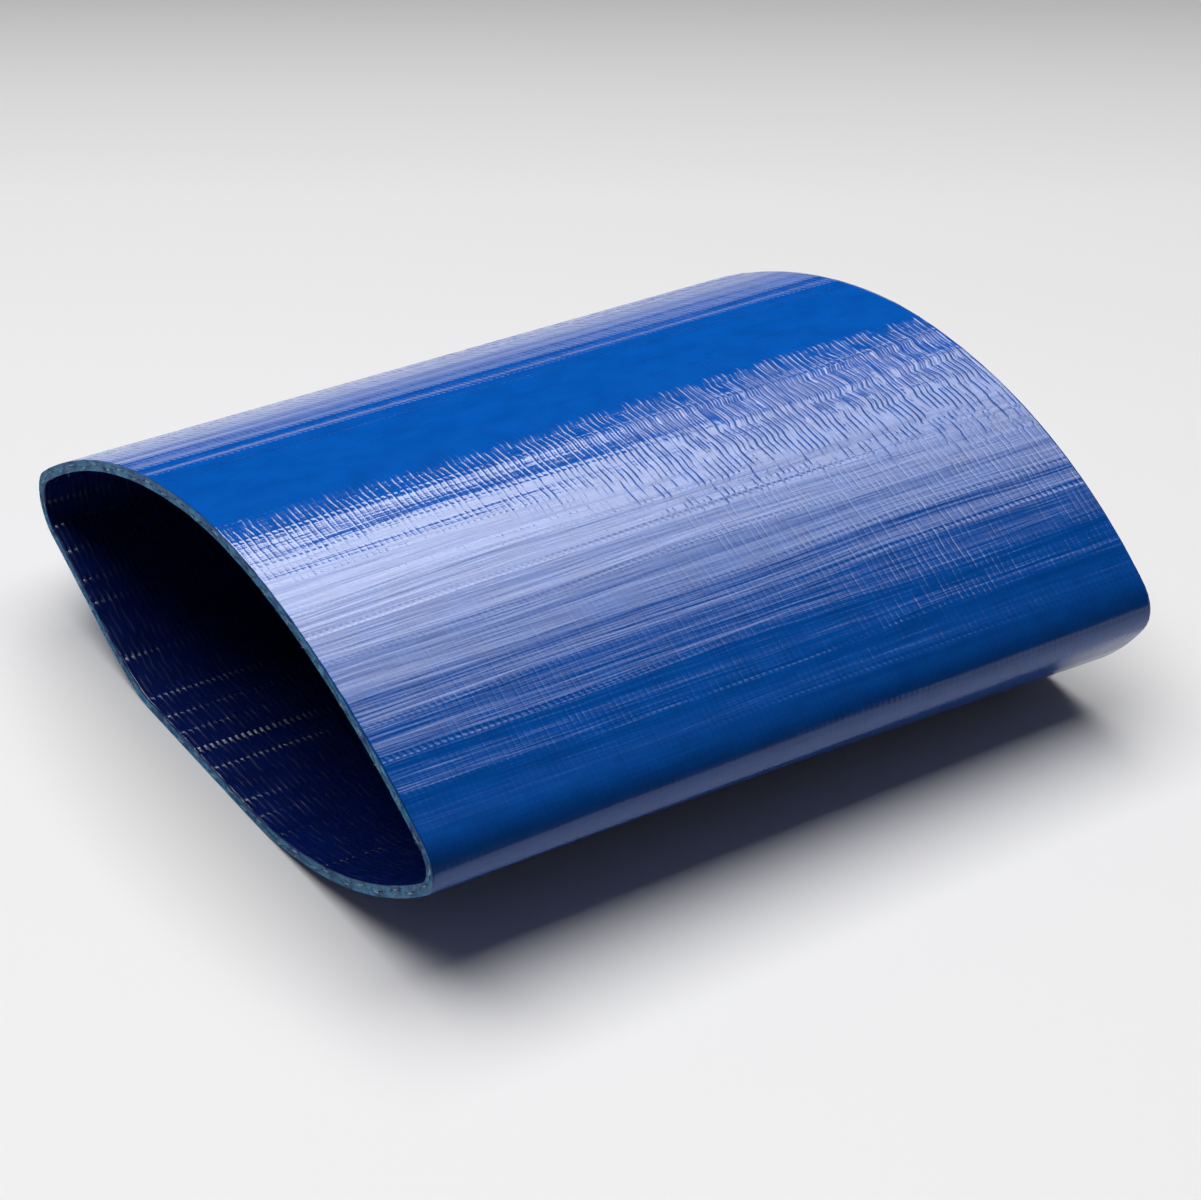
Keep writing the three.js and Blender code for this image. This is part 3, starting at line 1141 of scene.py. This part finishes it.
@dataclass
class WeftYarn:
    """The one yarn that is wound round the hose, side by side with itself."""

    weave: Weave
    finish: YarnFinish
    name: str = "wound_weft_yarn"
    depth: float = 0.00107
    width: float = 0.00112
    thickness: float = 0.00029
    steps_round: int = 126
    sides: int = 6
    bend_weight: float = 0.010
    seed: int = 51
    loose_ends: int = 110
    loose_radii: tuple = (0.000028, 0.000026, 0.000022, 0.000010)
    loose_depths: tuple = (0.0005, 0.0016)
    loose_lengths: tuple = (0.0003, 0.0011)
    loose_root: float = 0.00025
    loose_spread: float = 0.55
    loose_curl: float = 0.35
    loose_outward: tuple = (0.35, 0.9)
    roundness: float = 0.7

    def steps(self) -> np.ndarray:
        """Turns for one winding, closer together where the wall bends tightly."""
        ring = self.weave.shape.rings[0]
        along = np.roll(ring, -1, 0) - ring
        angle = np.unwrap(np.arctan2(along[:, 1], along[:, 0]))
        effort = np.hypot(*along.T) + self.bend_weight * np.abs(np.gradient(angle))
        walked = np.r_[0.0, np.cumsum(effort)]
        wanted = np.linspace(0.0, walked[-1], self.steps_round, endpoint=False)
        return np.interp(wanted, walked, np.linspace(0.0, 1.0, walked.size))

    def build(self) -> bpy.types.Object:
        """Makes the winding with the fine broken filaments at both cuts."""
        one = self.steps()
        travel = (np.arange(1, WEFT_RIDGES - 2)[:, None] + one).reshape(-1)
        turn = np.tile(one, WEFT_RIDGES - 3)
        middle = self.weave.weft_share(travel + 0.5, turn)
        angle = np.linspace(0.0, 2 * math.pi, self.sides, endpoint=False)
        across = 0.5 * self.width * np.sign(np.cos(angle)) * np.abs(np.cos(angle)) ** self.roundness
        through = 0.5 * self.thickness * np.sin(angle)
        share = middle[:, None] + across / self.weave.shape.length
        points = self.weave.shape.place(turn[:, None], share, self.depth - through)
        draft = MeshDraft()
        draft.grid(points, wrap_columns=True)
        last = draft.count
        for start, order in ((0, 1), (last - self.sides, -1)):
            ring = [start + k for k in range(self.sides)][::order]
            draft.cap(ring[:4])
            draft.cap([ring[0], *ring[3:]])
        self.fray(draft)
        piece = draft.build(self.name, [self.finish.make()])
        count = len(piece.data.vertices)
        places = np.zeros((count, 3))
        places[:last, 0] = np.tile(angle / (2 * math.pi), len(points))
        places[:last, 1] = np.repeat(travel * self.weave.shape.perimeter, self.sides)
        corner_values(piece, "yarn_place", places, wrap=1.0)
        settle(piece, Slot.YARN, WEFT_NODE)
        return piece

    def fray(self, draft: MeshDraft) -> None:
        """Adds the fine filaments that stand out of both cuts.

        Args:
            draft: The mesh that takes them.
        """
        draw = np.random.default_rng(self.seed)
        shape = self.weave.shape
        for share, sign in ((0.0, -1.0), (1.0, 1.0)):
            for _ in range(self.loose_ends):
                turn, depth = draw.uniform(0, 1), draw.uniform(*self.loose_depths)
                root = shape.place(np.array(turn), np.array(share), np.array(depth))
                length = draw.uniform(*self.loose_lengths)
                lean = draw.normal(0.0, self.loose_spread, 3)
                lean[1] = sign * draw.uniform(*self.loose_outward)
                curl = draw.normal(0.0, self.loose_curl, 3)
                t = np.linspace(0.0, 1.0, 4)[:, None]
                path = root + length * (lean * t + curl * t * t)
                path[:, 1] -= sign * self.loose_root
                draft.hair(path, self.loose_radii)


@dataclass
class WarpYarn:
    """A flattened yarn that runs straight along the hose, with a tuft at each cut."""

    weave: Weave
    ply: Ply
    number: int
    finish: bpy.types.Material
    outer_depth: float = 0.000735
    inner_depth: float = 0.001405
    width: float = 0.0022
    thickness: float = 0.00024
    stations: int = 34
    sides: int = 12
    swells: int = 12
    swelling: float = 0.05
    flatness: tuple = (0.75, 0.25)
    tuft: int = 5
    tuft_spread: float = 0.4
    tuft_outward: tuple = (0.4, 1.0)
    tuft_lengths: tuple = (0.0002, 0.0006)
    tuft_radii: tuple = (0.00004, 0.000036, 0.00003, 0.000014)
    outer_seed: int = 900
    inner_seed: int = 1000

    def build(self) -> bpy.types.Object:
        """Makes the yarn and returns it."""
        outer = self.ply is Ply.OUTER
        draw = np.random.default_rng(self.number + (self.outer_seed if outer else self.inner_seed))
        line = 2 * (self.number - 1) + (0 if outer else 1)
        depth = self.outer_depth if outer else self.inner_depth
        share = np.linspace(0.0, 1.0, self.stations)
        centre = self.weave.line_turn(np.full(self.stations, line), share)
        angle = np.linspace(0.0, 2 * math.pi, self.sides, endpoint=False)
        thick = draw.uniform(-1, 1, self.swells + 1)
        swell = 1.0 + self.swelling * np.interp(share * self.swells, np.arange(self.swells + 1),
                                                thick)
        across = 0.5 * self.width * np.outer(swell, np.cos(angle))
        flat, bulge = self.flatness
        through = 0.5 * self.thickness * np.sin(angle) * (flat + bulge * np.abs(np.sin(angle)))
        turn = centre[:, None] + across / self.weave.shape.perimeter
        points = self.weave.shape.place(turn, share[:, None], depth - through[None, :])
        draft = MeshDraft()
        draft.grid(points, wrap_columns=True)
        body = draft.count
        for start, row, sign in ((0, 0, -1.0), (body - self.sides, -1, 1.0)):
            ring = [start + k for k in range(self.sides)][::1 if row == 0 else -1]
            for k in range(1, self.sides - 2, 2):
                draft.cap([ring[0], *ring[k:k + 3]])
            self.add_tuft(draft, draw, points[row], sign)
        piece = draft.build(f"{self.ply.value}_strand_{self.number:02d}", [self.finish])
        places = np.zeros((len(piece.data.vertices), 3))
        places[:body, 0] = np.tile(angle / (2 * math.pi), self.stations)
        places[:body, 1] = np.repeat(share * self.weave.shape.length, self.sides)
        corner_values(piece, "yarn_place", places, wrap=1.0)
        settle(piece, Slot.YARN, f"{self.ply.value}_{self.number:02d}")
        return piece

    def add_tuft(self, draft: MeshDraft, draw: np.random.Generator, ring: np.ndarray,
                 sign: float) -> None:
        """Adds the broken filaments at one end.

        Args:
            draft: The mesh that takes them.
            draw: The yarn's own random numbers.
            ring: The outline of the yarn's end.
            sign: The way out of the hose along it, -1 in front and 1 behind.
        """
        for _ in range(self.tuft):
            root = ring[draw.integers(0, self.sides)] * 0.5 + ring.mean(0) * 0.5
            lean = draw.normal(0.0, self.tuft_spread, 3)
            lean[1] = sign * draw.uniform(*self.tuft_outward)
            t = np.linspace(0.0, 1.0, 4)[:, None]
            draft.hair(root + draw.uniform(*self.tuft_lengths) * (lean * t), self.tuft_radii)


@dataclass
class Hose:
    """The whole hose: its two skins and the three plies of yarn between them."""

    weave: Weave

    def build(self) -> None:
        """Makes every layer, from outside to inside."""
        self.cover().build()
        yarn = YarnFinish("polyester_warp")
        warp_material = yarn.make()
        for ply in Ply:
            for number in range(1, WARP_LINES // 2 + 1):
                WarpYarn(self.weave, ply, number, warp_material).build()
        WeftYarn(self.weave, replace(yarn, name="polyester_weft", twist=0.0011)).build()
        self.liner().build()

    def cover(self) -> WallSkin:
        """The glossy outer skin."""
        return WallSkin(
            name="ribbed_cover_skin", node=COVER_NODE, slot=Slot.COVER, weave=self.weave,
            face_depth=0.0, back_depth=0.00057, back_between=0.00088,
            back_at_cut=(0.00060, 0.00127, 0.00106), inwards=False, own_lines=0,
            print_share=1.0, groove_share=1.0, row_dots=0.000010,
            finish=HosePvcFinish("glossy_cover_pvc"), cut=CutFinish("cut_cover_pvc"))

    def liner(self) -> WallSkin:
        """The inner skin, its colour darkened to paint the shade inside the tube."""
        # The liner's blue is set well below the cover's blue as painted shade for the inside of the
        # tube.
        finish = HosePvcFinish("painted_shade_liner_pvc", colour=(0.0010, 0.0075, 0.075, 1.0),
                               shade=(0.0008, 0.005, 0.050, 1.0), roughness=(0.16, 0.24),
                               groove_depth=0.000040, dot_height=0.00032, dot_reach=0.20,
                               streak_height=0.000030)
        return WallSkin(
            name="ribbed_liner_skin", node=LINER_NODE, slot=Slot.LINER, weave=self.weave,
            face_depth=0.00199, back_depth=0.00157, back_between=0.00126,
            back_at_cut=(0.00155, 0.00088, 0.00108), inwards=True, own_lines=1,
            print_share=0.8, groove_share=0.50, row_dots=0.000110,
            finish=finish, cut=CutFinish("cut_liner_pvc"), seed=61)


# ---------------------------------------------------------------- floor, lights and camera


@dataclass
class Studio:
    """A plain pale floor, a large soft light for the hose, one for the floor and a weak fill.

    The edge is the line on the floor beyond which it throws no reflection on the hose, as x and y
    of a point on it and how far it goes to the right for each metre back. The backdrop's rows are
    how far out and how high each is, as shares of the floor's reach.
    """

    reach: float = 6.0
    fill: float = 0.08
    fill_tint: tuple = (1.0, 0.93, 0.86, 1.0)
    edge_point: tuple = (0.131, -0.031)
    edge_lean: float = 0.61
    edge_ends: tuple = (-0.15, 0.40, 3.40)
    edge_left: float = -0.20
    wall_rows: tuple = ((1.0, 0.0), (1.0, 0.5), (0.8, 0.9), (0.4, 1.1), (0.02, 1.15))
    wall_sides: int = 64
    wall_glow: float = 0.74
    wall_tint: tuple = (0.97, 0.98, 1.0)
    overhead_place: tuple = (-0.05, -0.10, 1.2)
    overhead_side: float = 1.3
    overhead_power: float = 22.0
    box_low: tuple = (-1.339, -0.556, 1.15)
    box_width: float = 0.81
    box_length: float = 2.1
    box_tilt: float = -15.0
    box_turn: float = -33.0
    box_glow: float = 11.6
    box_tint: tuple = (0.985, 0.99, 1.0)
    box_stops: tuple = ((0.0, 0.90), (0.149, 0.94), (0.344, 0.86), (0.515, 0.66),
                        (0.653, 0.44), (0.778, 0.19), (0.900, 0.02), (1.0, 0.0))
    box_fan: tuple = ((0.522, 0.62), (1.0, 1.25))
    box_dimming: tuple = ((0.548, 1.22), (0.762, 0.67))
    floor_parts: bpy.types.Collection = field(init=False)
    hose_parts: bpy.types.Collection = field(init=False)

    def __post_init__(self) -> None:
        """Makes the two groups that the lights are kept to."""
        self.floor_parts = bpy.data.collections.new("floor_parts")
        self.hose_parts = bpy.data.collections.new("hose_parts")

    def sheet(self, name: str, corners: list, faces: list) -> bpy.types.Object:
        """A flat stage piece through corners given as x and y."""
        mesh = bpy.data.meshes.new(name)
        mesh.from_pydata([(x, y, 0.0) for x, y in corners], [], faces)
        made = bpy.data.objects.new(name, mesh)
        bpy.context.scene.collection.objects.link(made)
        made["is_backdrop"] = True
        return made

    def floor(self) -> None:
        """Makes the floor, whose part to the right of the hose throws no reflection on it."""
        far = self.reach
        x, y = self.edge_point
        edge = [(x + self.edge_lean * back, y + back) for back in self.edge_ends]
        near = [(-far, -far), (self.edge_left, -far), *edge, (edge[-1][0], far), (-far, far)]
        finish = PaleFinish().make()
        left = self.sheet("floor", near, [tuple(range(len(near)))])
        right_corners = near[1:6] + [(far, far), (far, -far)]
        right = self.sheet("floor_right", right_corners, [tuple(range(len(right_corners)))[::-1]])
        right.visible_glossy = False
        for part in (left, right):
            part.data.materials.append(finish)
            self.floor_parts.objects.link(part)

    def backdrop(self) -> None:
        """Makes a pale wall far behind everything, which only the camera sees."""
        draft = MeshDraft()
        turn = np.linspace(0.0, 2 * math.pi, self.wall_sides, endpoint=False)
        points = [[(out * self.reach * math.cos(a), out * self.reach * math.sin(a),
                    up * self.reach) for a in turn] for out, up in self.wall_rows]
        draft.grid(np.array(points), wrap_columns=True)
        glow = Glow("pale_backdrop", ((0.0, 1.0), (1.0, 1.0)), self.wall_glow, self.wall_tint)
        wall = draft.build("backdrop", [glow.make()])
        wall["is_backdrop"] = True
        wall.visible_diffuse = wall.visible_glossy = False
        wall.visible_transmission = wall.visible_shadow = False

    def softbox(self) -> None:
        """Makes the large soft light, bright on the left and fading to the right."""
        mesh = bpy.data.meshes.new("softbox")
        w, h = self.box_width, self.box_length
        mesh.from_pydata([(0, 0, 0), (0, h, 0), (w, h, 0), (w, 0, 0)], [], [(0, 1, 2, 3)])
        glow = Glow("softbox_glow", self.box_stops, self.box_glow, self.box_tint,
                    fan=self.box_fan, dimming=self.box_dimming)
        mesh.materials.append(glow.make())
        box = bpy.data.objects.new("softbox", mesh)
        box.location = self.box_low
        box.rotation_euler = (math.radians(self.box_tilt), 0.0, math.radians(self.box_turn))
        bpy.context.scene.collection.objects.link(box)
        box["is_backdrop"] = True
        box.visible_camera = box.visible_shadow = False
        box.light_linking.receiver_collection = self.hose_parts

    def overhead(self) -> None:
        """Makes the soft light straight above that lights the floor."""
        data = bpy.data.lights.new("overhead", "AREA")
        data.shape, data.size, data.energy = "SQUARE", self.overhead_side, self.overhead_power
        lamp = bpy.data.objects.new("overhead", data)
        lamp.location = self.overhead_place
        bpy.context.scene.collection.objects.link(lamp)
        lamp.visible_camera = lamp.visible_glossy = False
        lamp.light_linking.receiver_collection = self.floor_parts

    def world(self) -> None:
        """Sets the weak fill, which isn't seen in reflections."""
        world = bpy.data.worlds.new("fill")
        world.use_nodes = True
        background = world.node_tree.nodes["Background"]
        background.inputs["Color"].default_value = self.fill_tint
        background.inputs["Strength"].default_value = self.fill
        world.cycles_visibility.glossy = False
        bpy.context.scene.world = world

    def build(self) -> None:
        """Sets up everything round the hose."""
        self.floor()
        self.backdrop()
        self.softbox()
        self.overhead()
        self.world()
        bpy.context.scene.view_settings.view_transform = "Standard"
        LOG.info("studio: floor, backdrop, softbox, overhead light and fill")

    def light_hose(self) -> None:
        """Puts every piece of the hose in the group that the softbox lights."""
        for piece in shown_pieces():
            self.hose_parts.objects.link(piece)


@dataclass
class StudioCamera:
    """The camera, level from side to side and looking down on the front right."""

    location: tuple = (0.37649, -0.23963, 0.29199)
    azimuth: float = 56.92
    elevation: float = 31.85
    lens: float = 85.85
    sensor: float = 36.0

    def build(self) -> bpy.types.Object:
        """Makes the camera and sets it as the scene's."""
        turn, rise = math.radians(self.azimuth), math.radians(self.elevation)
        right = Vector((math.cos(turn), math.sin(turn), 0.0))
        back = Vector((math.sin(turn) * math.cos(rise), -math.cos(turn) * math.cos(rise),
                       math.sin(rise)))
        data = bpy.data.cameras.new("camera")
        data.lens, data.sensor_width, data.sensor_fit = self.lens, self.sensor, "HORIZONTAL"
        data.clip_start, data.clip_end = 0.01, 30.0
        camera = bpy.data.objects.new("camera", data)
        axes = Matrix((right, back.cross(right), back)).transposed().to_4x4()
        camera.matrix_world = Matrix.Translation(self.location) @ axes
        bpy.context.scene.collection.objects.link(camera)
        bpy.context.scene.camera = camera
        return camera


def main() -> None:
    """Builds the camera, the studio and the hose, and puts every piece of the hose in the softbox's
    light.
    """
    logging.basicConfig(level=logging.INFO, format="%(name)s: %(message)s")
    StudioCamera().build()
    studio = Studio()
    studio.build()
    Hose(Weave(HoseShape())).build()
    studio.light_hose()
    bpy.context.view_layer.update()


if __name__ == "__main__":
    main()
